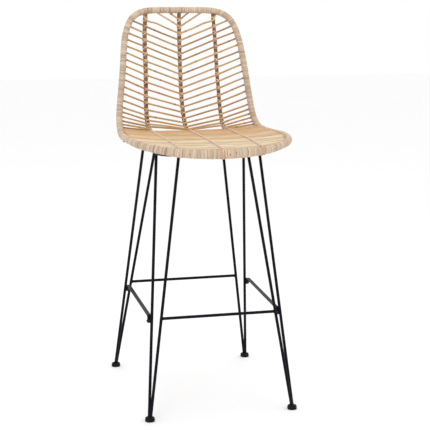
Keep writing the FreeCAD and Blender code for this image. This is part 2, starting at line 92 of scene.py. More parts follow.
# Rib axes, top to front
CENTRE_RIB = [
    (0, 282, 1110.7), (0, 281, 1060), (0, 276.5, 999), (0, 269, 938), (0, 258, 877),
    (0, 242.5, 832), (0, 227, 803), (0, 208, 779), (0, 186, 763), (0, 160, 755.5),
    (0, 120, 753.5), (0, 40, 753.3), (0, -60, 752.2), (0, -150, 749.2), (0, -215, 746),
    (0, -251.2, 743.6),
]
SIDE_RIB = [
    (106, 276.5, 1107.7), (110, 272, 1053), (111.5, 262, 997), (112, 250.5, 942),
    (114, 240.5, 886), (116, 229.5, 831), (116.5, 215, 797), (117, 200, 776),
    (118, 180, 762.5), (118.5, 152, 755.5), (119, 113, 753.5), (119, 40, 753.3),
    (118, -60, 752.2), (116.5, -150, 749.2), (115.5, -205, 746.5), (115, -233.8, 745),
]
UNDER_SEAT_Z = 770.0          # below this height a rib runs under the seat
# Top of the seat from rear to front, (y, z)
SEAT_TOP = [(150, 765.2), (40, 763.6), (-60, 762.6), (-150, 759.8), (-215, 756.8), (-250, 754.8)]

# Rows of canes in the back
ROWS = 22
CENTRE_ROWS = 20              # the rows after these run from the rim to a side rib only
PAIR_NODES = 19               # rows in a piece of their own; the lowest rows share one
FIRST_SIDE_ROW = 3            # the rows above end before they reach a side rib
FIRST_ON_CENTRE = 20.0        # distance down the centre rib to the first row
CENTRE_PITCH = 21.0
CENTRE_LOWEST = 408.0         # distance of the last row on the centre rib
FOURTH_ON_SIDE = 36.0         # distance down a side rib to the fourth row
SIDE_PITCH = 21.5
SIDE_LOW_PITCH = 16.0
FIFTH_ON_RIM_Z = 1075.0       # height at which the fifth row meets the rim
RIM_PITCH = 20.8
RIM_LOW_PITCH = 15.0
LOW_ROW = 17                  # below this row the rows lie closer together
RAIL_SPACING = 40.0           # the first rows end on the top rail, this far apart
RAIL_ROWS = 3
TIE_LENGTH = 7.0              # how far the short lowest canes reach past a side rib
CANE_INTO_RIM = 2.5           # how deep a cane's end sinks into the wrapping

# Split-cane strands of the seat
STRAND_THICKNESS = 3.3
STRAND_CROWN = 1.3
STRAND_GAP = 0.36
STRAND_INTO_RIM = 1.5
STRAND_STATIONS = 64
RIM_SHADOW = 5.0              # width of the painted shade along the front rim
OUTLINE_STEPS = 120

# Peel: what is wound on the rim, the lashings on the ribs and the stitches of the seat
PEEL_PITCH = 3.7
PEEL_COLUMNS = 28
# Across one turn: share of the pitch, height, and how much painted shade it has, most in the groove
# between turns
PEEL_PROFILE = ((0.0, -0.5, 1.0), (0.2, -0.05, 0.2), (0.5, 0.1, 0.0), (0.8, -0.03, 0.15))
OPEN_GAP = 2.4                # depth of the occasional wide groove, in usual depths
# Painted shade in an open groove and in a usual one
OPEN_GAP_SHADE = 1.3
USUAL_GAP_SHADE = 0.6
# Length marks of small dark ticks, from the middle, and their share of a turn round the pole
HOOP_TICKS = [(-150.0, 0.25), (-44.0, 0.25), (-38.0, 0.25), (40.0, 0.25), (96.0, 0.25)]
RIM_TICKS = [(-150.0, 0.5), (-118.0, 0.54), (-34.0, 0.47), (-16.0, 0.52), (92.0, 0.5)]
LASH_WIDTH = 2.9
LASH_THICKNESS = 0.75
LASH_GAP = 0.3                # between the rib and the peel lashed round it
LASH_TURNS = (-5.6, 5.4)      # where straight turns lie, from the crossing down the rib
LOW_LASH_TURNS = (5.2,)
STITCH_WIDTH = 3.8
STITCH_THICKNESS = 0.8
STITCH_GAP = 0.4
STITCH_CLEARANCE = 4.0        # least distance from a stitch to the rim
RIM_TURN_X = 115.0            # the side ribs end on the front rim this far from the middle
RIM_TURN_GAP = 0.25
RIM_TURN_THICKNESS = 1.0


# ---- curves --------------------------------------------------------------------------------
SAMPLES = 24                  # dense points from one knot of a curve to the next


def natural_spline(points):
    """Dense points on a smooth curve through the given ones."""
    knots = [Vector(p) for p in points]
    gaps = [(b - a).length for a, b in zip(knots, knots[1:])]
    last = len(knots) - 1
    upper = [0.0] * (last + 1)
    bend = [Vector((0, 0, 0)) for _ in knots]
    for i in range(1, last):
        before, after = gaps[i - 1], gaps[i]
        change = (knots[i + 1] - knots[i]) / after - (knots[i] - knots[i - 1]) / before
        weight = 2 * (before + after) - before * upper[i - 1]
        upper[i] = after / weight
        bend[i] = (change * 6 - bend[i - 1] * before) / weight
    for i in range(last - 1, 0, -1):
        bend[i] = bend[i] - bend[i + 1] * upper[i]
    dense = []
    for i in range(last):
        for k in range(SAMPLES):
            b = k / SAMPLES
            a = 1 - b
            sag = bend[i] * (a ** 3 - a) + bend[i + 1] * (b ** 3 - b)
            dense.append(knots[i] * a + knots[i + 1] * b + sag * (gaps[i] ** 2 / 6))
    return dense + [knots[-1]]


class Track:
    """A smooth curve measured along its length."""

    def __init__(self, points):
        self.dense = natural_spline(points)
        self.marks = [0.0]
        for a, b in zip(self.dense, self.dense[1:]):
            self.marks.append(self.marks[-1] + (b - a).length)
        self.length = self.marks[-1]

    def point(self, s):
        i = min(max(bisect_right(self.marks, s) - 1, 0), len(self.dense) - 2)
        share = (s - self.marks[i]) / (self.marks[i + 1] - self.marks[i])
        return self.dense[i].lerp(self.dense[i + 1], share)

    def tangent(self, s):
        return (self.point(s + 1.0) - self.point(s - 1.0)).normalized()

    def nearest(self, target):
        """Length mark of the dense point nearest to target."""
        goal = Vector(target)
        best = min(range(len(self.dense)), key=lambda i: (self.dense[i] - goal).length)
        return self.marks[best]


def bell(distance, width):
    """A soft bump: 1 at no distance, fading over width."""
    return math.exp(-(distance / width) ** 2)


def flip(points):
    """The same points on the other side of the stool."""
    return [(-x, y, z) for x, y, z in points]


left_half = flip(RIM_POINTS)
hoop = Track(left_half[HOOP_LAST + 1:0:-1] + RIM_POINTS[:HOOP_LAST + 2])
hoop_ends = [hoop.nearest(p) for p in (left_half[HOOP_LAST], RIM_POINTS[HOOP_LAST])]
seat_loop = Track(RIM_POINTS[HOOP_LAST - 1:] + left_half[-2:HOOP_LAST - 2:-1])
seat_stops = [seat_loop.nearest(p) for p in (
    RIM_POINTS[HOOP_LAST], RIM_POINTS[CORNER_POINT], RIM_POINTS[-1],
    left_half[CORNER_POINT], left_half[HOOP_LAST])]
ribs = {"left": Track(flip(SIDE_RIB)), "centre": Track(CENTRE_RIB), "right": Track(SIDE_RIB)}
seat_line = Track([(0, y, z) for y, z in SEAT_TOP])


def dish(x):
    """How much higher than its middle the seat lies at x."""
    return SEAT_DISH * (abs(x) / DISH_REACH) ** 3


def seat_top(y):
    """Height of the seat's top surface at y, along its middle."""
    line = seat_line.dense
    for a, b in zip(line, line[1:]):
        if a.y >= y >= b.y:
            return a.z + (b.z - a.z) * (a.y - y) / (a.y - b.y)
    return line[0].z if y > line[0].y else line[-1].z


def seat_rim_height(s):
    """Height of the oval seat rim at a length mark, eased between its stops."""
    for (s0, h0), (s1, h1) in zip(zip(seat_stops, SEAT_RIM_HEIGHTS),
                                  zip(seat_stops[1:], SEAT_RIM_HEIGHTS[1:])):
        if s <= s1:
            t = max(0.0, (s - s0) / (s1 - s0))
            return h0 + (h1 - h0) * t * t * (3 - 2 * t)
    return SEAT_RIM_HEIGHTS[-1]


# ---- meshes --------------------------------------------------------------------------------
class Skin:
    """Points and faces gathered for one mesh, with the values that its material reads:
    grain, the straightened place along and across the strand; dark, painted shade in grooves, at edges
    and where parts meet, or the real dark of a natural joint; and tint, a face's shade between 0 and 1."""

    def __init__(self):
        self.points = []
        self.grain = []
        self.dark = []
        self.faces = []
        self.tint = []

    def add(self, point, grain, dark=0.0):
        self.points.append(point)
        self.grain.append(grain)
        self.dark.append(dark)
        return len(self.points) - 1

    def face(self, corners, tint):
        self.faces.append(corners)
        self.tint.append(tint)

    def join(self, rings, tint, closed=False):
        """Faces between neighbouring rings of point numbers, with caps unless closed."""
        size = len(rings[0])
        pairs = list(zip(rings, rings[1:]))
        if closed:
            pairs.append((rings[-1], rings[0]))
        for low, high in pairs:
            for j in range(size):
                k = (j + 1) % size
                self.face((low[j], low[k], high[k], high[j]), tint)
        if not closed:
            self.face(tuple(reversed(rings[0])), tint)
            self.face(tuple(rings[-1]), tint)


MM = 0.001
EDGE_SHADE = 0.35             # painted shade on the edges and underside of a strap of peel


def make_piece(name, skin, slot, *nodes):
    """Turn a skin into an object that rides on the stool and stands for CAD nodes."""
    mesh = bpy.data.meshes.new(name)
    shift = Vector((0, CENTRE_SHIFT, 0))
    mesh.from_pydata([(p + shift) * MM for p in skin.points], [], skin.faces)
    grain = mesh.attributes.new("grain", "FLOAT_VECTOR", "POINT")
    grain.data.foreach_set("vector", [c * MM for g in skin.grain for c in g])
    mesh.attributes.new("dark", "FLOAT", "POINT").data.foreach_set("value", skin.dark)
    mesh.attributes.new("tint", "FLOAT", "FACE").data.foreach_set("value", skin.tint)
    work = bmesh.new()
    work.from_mesh(mesh)
    bmesh.ops.remove_doubles(work, verts=work.verts, dist=1e-6)
    bmesh.ops.dissolve_degenerate(work, edges=work.edges, dist=1e-7)
    bmesh.ops.recalc_face_normals(work, faces=work.faces)
    for facet in work.faces:
        facet.smooth = True
    work.to_mesh(mesh)
    work.free()
    mesh.materials.append(materials[slot])
    piece = bpy.data.objects.new(name, mesh)
    bpy.context.scene.collection.objects.link(piece)
    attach(piece, "root")
    if nodes:
        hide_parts(*nodes)
    return piece


def carried_frames(points):
    """Two directions across the curve at each point, carried along it without twist."""
    tangents = []
    for i in range(len(points)):
        before, after = points[max(i - 1, 0)], points[min(i + 1, len(points) - 1)]
        tangents.append((after - before).normalized())
    side = tangents[0].orthogonal().normalized()
    frames = []
    for tangent in tangents:
        side = (side - tangent * side.dot(tangent)).normalized()
        frames.append((side, tangent.cross(side)))
    return frames


def pole(skin, points, radius_at, dark_at, tint, sides, start):
    """A natural round pole or cane along points."""
    rings = []
    along = start
    for i, (point, (side, across)) in enumerate(zip(points, carried_frames(points))):
        if i:
            along += (point - points[i - 1]).length
        radius, dark = radius_at(along - start), dark_at(along - start)
        ring = []
        for j in range(sides):
            turn = 2 * math.pi * j / sides
            away = side * math.cos(turn) + across * math.sin(turn)
            grain = (radius * math.cos(turn), radius * math.sin(turn), along)
            ring.append(skin.add(point + away * radius, grain, dark))
        rings.append(ring)
    skin.join(rings, tint)


def strap_loop(skin, corners, centre, width, thickness, tint, stations=26):
    """A closed loop of peel through corner points, its face turned away from centre."""
    track = Track(corners * 3)
    lap = SAMPLES * len(corners)
    lap_start, lap_end = track.marks[lap], track.marks[2 * lap]
    profile = ((-0.5, 0.0), (-0.32, 0.85), (0.0, 1.1), (0.32, 0.85), (0.5, 0.0), (0.0, -0.25))
    first = dice.uniform(0, 500)
    rings = []
    for i in range(stations):
        s = lap_start + (lap_end - lap_start) * i / stations
        point, tangent = track.point(s), track.tangent(s)
        away = point - centre
        away = (away - tangent * away.dot(tangent)).normalized()
        across = tangent.cross(away)
        ring = []
        for x, h in profile:
            place = point + across * (x * width) + away * (h * thickness)
            # Painted shade on the strap's edges and underside, where it lies on what it is wound round
            dark = EDGE_SHADE if h <= 0 else 0.0
            ring.append(skin.add(place, (x * width, h * thickness, first + s), dark))
        rings.append(ring)
    skin.join(rings, tint, closed=True)


# ---- materials -----------------------------------------------------------------------------
def colour(red, green, blue):
    """A shader colour from 0-255 display values."""
    linear = []
    for value in (red, green, blue):
        v = value / 255
        linear.append(v / 12.92 if v <= 0.04045 else ((v + 0.055) / 1.055) ** 2.4)
    return (*linear, 1.0)


class Paint:
    """Short calls that build one material's nodes."""

    def __init__(self, name):
        self.material = bpy.data.materials.new(name)
        self.material.use_nodes = True
        self.tree = self.material.node_tree
        self.shader = self.tree.nodes["Principled BSDF"]

    def node(self, kind, links=(), **values):
        made = self.tree.nodes.new("ShaderNode" + kind)
        for key, value in values.items():
            if hasattr(made, key):
                setattr(made, key, value)
            else:
                made.inputs[key].default_value = value
        for socket, source in dict(links).items():
            self.tree.links.new(source, made.inputs[socket])
        return made

    def value(self, name):
        return self.node("Attribute", attribute_name=name).outputs["Fac"]

    def grain_noise(self, scale, detail=4.0, rough=0.6):
        """Noise in the straightened grain space, stretched by a scale per axis."""
        place = self.node("Attribute", attribute_name="grain").outputs["Vector"]
        stretched = self.node("VectorMath", {0: place}, operation="MULTIPLY")
        stretched.inputs[1].default_value = scale
        noise = self.node("TexNoise", {"Vector": stretched.outputs[0]},
                          Scale=1.0, Detail=detail, Roughness=rough)
        return noise.outputs["Fac"]

    def space_noise(self, scale, detail=3.0):
        place = self.node("TexCoord").outputs["Object"]
        return self.node("TexNoise", {"Vector": place}, Scale=scale, Detail=detail).outputs["Fac"]

    def ramp(self, source, stops):
        made = self.node("ValToRGB", {"Fac": source})
        band = made.color_ramp
        while len(band.elements) < len(stops):
            band.elements.new(0.5)
        for element, (place, shade) in zip(band.elements, stops):
            element.position = place
            element.color = shade
        return made.outputs["Color"]

    def span(self, source, low, high, to_low, to_high):
        made = self.node("MapRange", {"Value": source})
        for key, value in (("From Min", low), ("From Max", high),
                           ("To Min", to_low), ("To Max", to_high)):
            made.inputs[key].default_value = value
        return made.outputs["Result"]

    def mix(self, factor, first, second, blend="MIX"):
        made = self.node("Mix", data_type="RGBA", blend_type=blend)
        for index, source in ((0, factor), (6, first), (7, second)):
            if isinstance(source, (float, tuple)):
                made.inputs[index].default_value = source
            else:
                self.tree.links.new(source, made.inputs[index])
        return made.outputs[2]

    def bump(self, height, strength, distance):
        made = self.node("Bump", {"Height": height}, Strength=strength, Distance=distance)
        self.tree.links.new(made.outputs["Normal"], self.shader.inputs["Normal"])

    def set(self, socket, value):
        if hasattr(value, "links"):
            self.tree.links.new(value, self.shader.inputs[socket])
        else:
            self.shader.inputs[socket].default_value = value


def rattan(name, shades, shade_and_joint_colour, streak, scale, gloss, fleck):
    """Cane or peel: a shade per strand, fibre streaks, soft blotches, and a darker colour mixed in by
    the dark attribute: painted shade in grooves and under strands, and the real dark of natural joints.
    """
    paint = Paint(name)
    base = paint.ramp(paint.value("tint"), [(i / (len(shades) - 1), colour(*shade))
                                            for i, shade in enumerate(shades)])
    fibre = paint.grain_noise(scale)
    blotch = paint.grain_noise((90.0, 90.0, 28.0), 3.0)
    low = tuple(c * (1 - streak) for c in (0.92, 0.86, 0.78))
    streaked = paint.mix(paint.span(fibre, 0.38, 0.66, 1.0, 0.0), base,
                         paint.mix(1.0, base, (*low, 1.0), "MULTIPLY"))
    blotched = paint.mix(paint.span(blotch, 0.52, 0.75, 0.0, fleck), streaked,
                         paint.mix(1.0, streaked, (0.72, 0.60, 0.46, 1.0), "MULTIPLY"))
    # Painted shade from the dark attribute, together with the real dark rings of natural joints
    depth = paint.node("Clamp", {"Value": paint.value("dark")}).outputs[0]
    paint.set("Base Color", paint.mix(depth, blotched, colour(*shade_and_joint_colour)))
    paint.set("Roughness", paint.span(fibre, 0.3, 0.7, gloss + 0.1, gloss - 0.08))
    paint.set("Specular IOR Level", 0.45)
    paint.bump(fibre, 0.35, 0.0003)
    return paint.material


def coated(name, shade, roughness, lumps, depth, metallic=0.0, wear=1.25, gleam=0.5):
    """Powder coat, rubber or plated metal with a fine surface of its own."""
    paint = Paint(name)
    cloud = paint.space_noise(38.0)
    paler = tuple(min(1.0, c * wear + 0.002) for c in colour(*shade)[:3])
    paint.set("Base Color", paint.mix(paint.span(cloud, 0.35, 0.7, 0.0, 1.0),
                                      colour(*shade), (*paler, 1.0)))
    fine = paint.space_noise(lumps, 2.0)
    paint.set("Roughness", paint.span(fine, 0.3, 0.7, roughness - 0.05, roughness + 0.07))
    paint.set("Metallic", metallic)
    paint.set("Specular IOR Level", gleam)
    paint.bump(fine, 0.25, depth)
    return paint.material


PEEL_SHADES = ((178, 152, 124), (212, 190, 164), (226, 208, 186), (206, 180, 158), (234, 220, 202))
BINDING_SHADES = ((204, 166, 124), (222, 190, 152), (230, 206, 180), (234, 204, 186))
BARK_SHADES = ((112, 70, 44), (142, 92, 60), (162, 110, 74))
CANE_SHADES = ((176, 132, 80), (200, 158, 102), (210, 168, 112),
               (194, 160, 104), (220, 182, 126), (202, 150, 96))
SLAT_SHADES = ((214, 172, 120), (220, 182, 136), (224, 196, 154), (230, 212, 178), (236, 224, 198))

materials = {
    "rattan_peel_wrap": rattan("rattan_peel_wrap", PEEL_SHADES, shade_and_joint_colour=(112, 84, 58), streak=0.10,
                               scale=(900.0, 900.0, 40.0), gloss=0.5, fleck=0.2),
    "rattan_binding": rattan("rattan_binding", BINDING_SHADES, shade_and_joint_colour=(120, 84, 56), streak=0.15,
                             scale=(1100.0, 1100.0, 50.0), gloss=0.48, fleck=0.3),
    "rattan_bark_pole": rattan("rattan_bark_pole", BARK_SHADES, shade_and_joint_colour=(66, 40, 24), streak=0.25,
                               scale=(800.0, 800.0, 22.0), gloss=0.42, fleck=0.7),
    "rattan_cane": rattan("rattan_cane", CANE_SHADES, shade_and_joint_colour=(104, 66, 34), streak=0.2,
                          scale=(900.0, 900.0, 24.0), gloss=0.4, fleck=0.45),
    "rattan_split_slat": rattan("rattan_split_slat", SLAT_SHADES, shade_and_joint_colour=(150, 100, 54), streak=0.2,
                                scale=(520.0, 520.0, 9.0), gloss=0.46, fleck=0.3),
    "dark_peg": coated("dark_peg", (74, 48, 34), roughness=0.6, lumps=900.0, depth=0.0002),
    "black_steel": coated("black_steel", (10, 12, 20), roughness=0.4, lumps=1600.0,
                          depth=0.00004, gleam=0.08),
    "black_hardware": coated("black_hardware", (22, 22, 25), roughness=0.34, lumps=2200.0,
                             depth=0.00002, gleam=0.3),
    "zinc_screws": coated("zinc_screws", (196, 198, 202), roughness=0.34, lumps=1500.0,
                          depth=0.00003, metallic=1.0, wear=0.8),
    "black_rubber": coated("black_rubber", (15, 15, 17), roughness=0.62, lumps=1300.0,
                           depth=0.00008, gleam=0.15),
}


# ---- wrapped rim ---------------------------------------------------------------------------
def wrapped_pole(name, node, track, ends, middle, half_size, reference, ticks):
    """A pole with peel wound round it in one helix; the mesh follows the helix."""
    skin = Skin()
    groove = PEEL_PROFILE[0][1]
    edges = [ends[0]]
    while edges[-1] < ends[1]:
        edges.append(edges[-1] + PEEL_PITCH * dice.uniform(0.86, 1.14))
    turns = len(edges) - 1
    tints = [min(1.0, max(0.0, dice.gauss(0.58, 0.24))) for _ in range(turns + 4)]
    lifts = [dice.gauss(0.0, 0.14) for _ in range(turns + 4)]
    gaps = [1.0 if dice.random() < 0.7 else OPEN_GAP for _ in range(turns + 4)]

    def mark(t):
        """Length mark of helix turn t."""
        whole = min(max(int(math.floor(t)), 0), turns - 1)
        s = edges[whole] + (edges[whole + 1] - edges[whole]) * (t - whole)
        return min(max(s, ends[0]), ends[1])

    steps = len(PEEL_PROFILE)
    rows = []
    for k in range(-1, turns + 3):
        for share, height, dark in PEEL_PROFILE:
            row = []
            for j in range(PEEL_COLUMNS):
                t = k + share + j / PEEL_COLUMNS
                s = mark(t)
                at_end = s <= ends[0] or s >= ends[1]
                centre, tangent = track.point(s), track.tangent(s)
                side = tangent.cross(reference).normalized()
                upright = side.cross(tangent)
                half_wide, half_high = half_size(s)
                turn = 2 * math.pi * j / PEEL_COLUMNS
                wide, high = math.cos(turn), math.sin(turn)
                if at_end:
                    lift = groove
                elif height == groove:
                    lift = groove * gaps[k + 1]
                else:
                    lift = height + lifts[k + 1]
                place = centre + side * (wide * (half_wide + lift))
                place = place + upright * (high * (half_high + lift))
                # Painted shade in the groove between turns, darker in the open grooves
                shade = dark * (OPEN_GAP_SHADE if gaps[k + 1] == OPEN_GAP else USUAL_GAP_SHADE)
                for tick_s, tick_turn in ticks:
                    near = abs(s - middle - tick_s) < PEEL_PITCH * 0.45
                    if near and abs(j - tick_turn * PEEL_COLUMNS) < 0.7:
                        shade = 1.0
                row.append(skin.add(place, (share * PEEL_PITCH, 0.0, t * 60.0), shade))
            rows.append(row)
    for r in range(len(rows) - 1 - steps):
        for j in range(PEEL_COLUMNS):
            if j + 1 < PEEL_COLUMNS:
                ahead = (rows[r + 1][j + 1], rows[r][j + 1])
            else:
                ahead = (rows[r + 1 + steps][0], rows[r + steps][0])
            skin.face((rows[r][j], rows[r + 1][j], *ahead), tints[r // steps])
    skin.face(tuple(rows[0]), 0.3)
    skin.face(tuple(rows[-1]), 0.3)
    return make_piece(name, skin, "rattan_peel_wrap", node)


top_middle = hoop.nearest(RIM_POINTS[0])
front_middle = seat_stops[2]
wrapped_pole("wrapped_back_hoop", "rim_back_hoop", hoop, hoop_ends, top_middle,
             lambda s: (HOOP_RADIUS, HOOP_RADIUS), Vector((0, 1, 0)), HOOP_TICKS)
wrapped_pole("wrapped_seat_rim", "rim_seat_pole", seat_loop, (seat_stops[0], seat_stops[-1]),
             front_middle, lambda s: (SEAT_RIM_WIDTH / 2, seat_rim_height(s) / 2),
             Vector((0, 0, 1)), RIM_TICKS)


# ---- ribs ----------------------------------------------------------------------------------
RIB_KNOT_GAP = 130.0          # usual distance between the natural joints of a rib
RIB_SWELL = 0.45              # how far a joint stands out


def natural_pole(skin, track, first, last, radius, tint, step=2.5):
    """A pole with the swellings and dark rings of its natural joints."""
    knots = []
    s = first + dice.uniform(0.2, 0.8) * RIB_KNOT_GAP
    while s < last:
        knots.append(s - first)
        s += RIB_KNOT_GAP * dice.uniform(0.8, 1.25)
    slow = dice.uniform(0, 6)
    count = int((last - first) / step)
    points = [track.point(first + (last - first) * i / count) for i in range(count + 1)]

    def radius_at(s):
        wave = 0.03 * math.sin(s / 31 + slow) + 0.015 * math.sin(s / 11 + 2 * slow)
        swell = sum(RIB_SWELL * bell(s - k, 2.6) for k in knots)
        return radius * (1 + wave) + swell

    def dark_at(s):
        return min(1.0, sum(0.75 * bell(s - k - 0.8, 1.5) for k in knots))

    pole(skin, points, radius_at, dark_at, tint, 18, dice.uniform(0, 900))


for side, track in ribs.items():
    skin = Skin()
    natural_pole(skin, track, -1.5, track.length + 1.0, RIB_RADIUS[side], dice.uniform(0.3, 0.8))
    make_piece("rib_pole_" + side, skin, "rattan_bark_pole", "rib_" + side)


# ---- canes of the back ---------------------------------------------------------------------
def evenly_then_close(row, first_row, first, pitch, low_pitch):
    """Distance of a row whose pitch shrinks below LOW_ROW."""
    return first + pitch * (min(row, LOW_ROW) - first_row) + low_pitch * max(row - LOW_ROW, 0)


def crossing(side, row):
    """Length mark of a row on a rib."""
    if side == "centre":
        return min(FIRST_ON_CENTRE + CENTRE_PITCH * (row - 1), CENTRE_LOWEST)
    return evenly_then_close(row, 4, FOURTH_ON_SIDE, SIDE_PITCH, SIDE_LOW_PITCH)


def rib_frame(side, s):
    """The rib's axis point, the way down it and the way out to the sitter."""
    tangent = ribs[side].tangent(s)
    return ribs[side].point(s), tangent, tangent.cross(Vector((1, 0, 0))).normalized()


def over_rib(side, row):
    """Where a cane crosses a rib: on its binding, on the sitter's side."""
    point, tangent, outward = rib_frame(side, crossing(side, row))
    return point + outward * (RIB_RADIUS[side] + BINDING_THICKNESS + CANE_RADIUS + CLEAR)


right_side = [s for s in hoop.marks if s > top_middle]
fifth_mark = min(right_side, key=lambda s: abs(hoop.point(s).z - FIFTH_ON_RIM_Z))


def rim_end(row):
    """Point of the rim's axis that a right-hand cane runs to."""
    if row <= RAIL_ROWS:
        return hoop.point(hoop.nearest((RAIL_SPACING * row, 280, 1118)))
    return hoop.point(evenly_then_close(row, 5, fifth_mark, RIM_PITCH, RIM_LOW_PITCH))


def cane(skin, row, side):
    """One cane to the rim, from the centre rib or, low down, from a side rib."""
    mirror = -1 if side == "left" else 1
    end = rim_end(row)
    crossed = over_rib(side, row)
    crossed = Vector((abs(crossed.x), crossed.y, crossed.z))
    if row > CENTRE_ROWS:
        knots = [crossed + (crossed - end).normalized() * TIE_LENGTH, crossed]
    else:
        knots = [over_rib("centre", row)] + ([crossed] if row >= FIRST_SIDE_ROW else [])
    reach = (knots[-1] - end).normalized()
    knots.append(end + reach * (HOOP_RADIUS - CANE_INTO_RIM))
    knots = [Vector((mirror * p.x, p.y, p.z)) for p in knots]
    runs = knots[:1]
    for a, b in zip(knots, knots[1:]):
        runs += [a.lerp(b, share) for share in (0.25, 0.5, 0.75, 1.0)]
    track = Track(runs)
    length = track.length
    joints = [dice.uniform(0.12, 0.88) * length for _ in range(dice.choice((0, 1, 1, 2)))]
    radius = CANE_RADIUS * dice.uniform(0.9, 1.03)
    droop, slow = dice.gauss(0, 0.5), dice.uniform(0, 6)
    count = int(length / 2.5)
    points = []
    for i in range(count + 1):
        s = length * i / count
        lift = droop * math.sin(math.pi * i / count) + 0.25 * math.sin(s / 17 + slow)
        points.append(track.point(s) + Vector((0, 0, lift)))

    def radius_at(s):
        swell = sum(0.4 * bell(s - k, 2.2) for k in joints)
        return radius * (1 + 0.025 * math.sin(s / 13 + slow)) + swell

    def dark_at(s):
        joint = sum(0.8 * bell(s - k - 0.6, 1.3) for k in joints)
        # Real dark rings at the joints, and painted shade on the last millimetres where the cane runs
        # into the rim
        return min(1.0, joint + 0.75 * bell(length - 4.0 - s, 3.2))

    pole(skin, points, radius_at, dark_at, dice.random(), 12, dice.uniform(0, 900))


def cane_piece(name, rows, node):
    skin = Skin()
    for row in rows:
        cane(skin, row, "left")
        cane(skin, row, "right")
    make_piece(name, skin, "rattan_cane", node)


for row in range(1, PAIR_NODES + 1):
    cane_piece("cane_pair_%02d" % row, [row], "spindle_pair_%02d" % row)
cane_piece("canes_low_rows", range(PAIR_NODES + 1, ROWS + 1), "spindle_low_rows")


# ---- peel lashings on the ribs -------------------------------------------------------------
def lash_crossing(skin, side, row):
    """Two diagonal straps over the cane and straight turns round the rib beside it."""
    s = crossing(side, row)
    centre, down, out = rib_frame(side, s)
    right = Vector((1, 0, 0))
    radius = RIB_RADIUS[side] + LASH_GAP
    crest = RIB_RADIUS[side] + BINDING_THICKNESS + 2 * CANE_RADIUS - 0.6
    hub = centre + out * 3.0
    shade = dice.uniform(0.35, 1.0)
    for lean in (1, -1):
        fall = dice.uniform(3.4, 4.4)
        corners = []
        for across, outward, along in (
                (0.0, -radius, 0.0), (radius, 0.0, 0.8), (0.72 * radius, radius * 0.9, 1.0),
                (0.30 * radius, crest, 0.45), (-0.30 * radius, crest, -0.45),
                (-0.72 * radius, radius * 0.9, -1.0), (-radius, 0.0, -0.8)):
            lift = LASH_THICKNESS * 0.6 if lean < 0 and outward > 0 else 0.0
            corners.append(centre + right * (across * lean) + out * (outward + lift)
                           + down * (along * fall))
        strap_loop(skin, corners, hub, LASH_WIDTH, LASH_THICKNESS,
                   min(1.0, shade + dice.uniform(-0.15, 0.15)))
    for offset in LASH_TURNS if row < LOW_ROW else LOW_LASH_TURNS:
        if dice.random() < 0.3:
            continue
        around = []
        wander = dice.uniform(-0.3, 0.3)
        point, tangent, outward = rib_frame(side, s + offset + wander)
        tilt = dice.uniform(-0.9, 0.9)
        for k in range(8):
            turn = math.pi * k / 4
            around.append(point + right * (radius * math.cos(turn))
                          + outward * (radius * math.sin(turn)) + tangent * (tilt * math.cos(turn)))
        strap_loop(skin, around, point, LASH_WIDTH, LASH_THICKNESS,
                   min(1.0, max(0.0, shade + dice.uniform(-0.3, 0.2))), 20)


skin = Skin()
for row in range(1, CENTRE_ROWS):
    lash_crossing(skin, "centre", row)
for side in ("left", "right"):
    for row in range(FIRST_SIDE_ROW, ROWS + 1):
        lash_crossing(skin, side, row)
make_piece("rib_lashings", skin, "rattan_binding", "rib_bindings")

# ---- seat strands --------------------------------------------------------------------------
inner_edge = []
for i in range(OUTLINE_STEPS + 1):
    s = seat_stops[0] + (seat_stops[2] - seat_stops[0]) * i / OUTLINE_STEPS
    tangent = seat_loop.tangent(s)
    inward = Vector((tangent.y, -tangent.x, 0)).normalized()
    inner_edge.append(seat_loop.point(s) + inward * (SEAT_RIM_WIDTH / 2 + CLEAR))


def half_width(y):
    """Half the seat's clear width at y, inside the rim."""
    for a, b in zip(inner_edge, inner_edge[1:]):
        if a.y >= y >= b.y:
            return a.x + (b.x - a.x) * (a.y - y) / (a.y - b.y)
    return inner_edge[0].x if y > inner_edge[0].y else inner_edge[-1].x


strand_pitch = (SLAT_REAR_Y - SLAT_FRONT_Y) / (SLAT_COUNT * STRANDS_PER_SLAT)


def seat_strand(skin, middle, tint):
    """One split cane across the seat: flat below, crowned above, cut to the rim's outline."""
    half = (strand_pitch - STRAND_GAP) / 2
    lift, slow = dice.uniform(-0.3, 0.15), dice.uniform(0, 6)
    profile = [(-1.0, 0), (-0.93, 1), (-0.6, 1), (0.0, 1), (0.6, 1), (0.93, 1), (1.0, 0)]
    start = dice.uniform(0, 900)
    rings = []
    for i in range(STRAND_STATIONS + 1):
        t = 2 * i / STRAND_STATIONS - 1
        ring = []
        for across, on_top in profile:
            y = middle + across * half
            x = t * (half_width(y) + STRAND_INTO_RIM)
            wave = 0.22 * math.sin(x / 23 + slow) + 0.12 * math.sin(x / 9 + 2 * slow)
            level = seat_top(y) + dish(x)
            shade = 0.0
            if on_top:
                z = level + lift + wave - STRAND_CROWN * across ** 2
                # Painted shade on the top's edges, in the grooves between strands
                if abs(across) > 0.9:
                    shade = 0.8
            else:
                z = level - STRAND_THICKNESS
                # Painted shade on the underside
                shade = 1.0
            # Painted shade along the front rim
            if y < 0 and abs(x) > half_width(y - RIM_SHADOW):
                shade = max(shade, 0.55)
            ring.append(skin.add(Vector((x, y, z)), (across * half, on_top * 2.0, start + x), shade))
        rings.append(ring)
    skin.join(rings, tint)


def strand_middle(number):
    """Y of the middle of a strand, counted from the rear."""
    return SLAT_REAR_Y - strand_pitch * (number + 0.5)


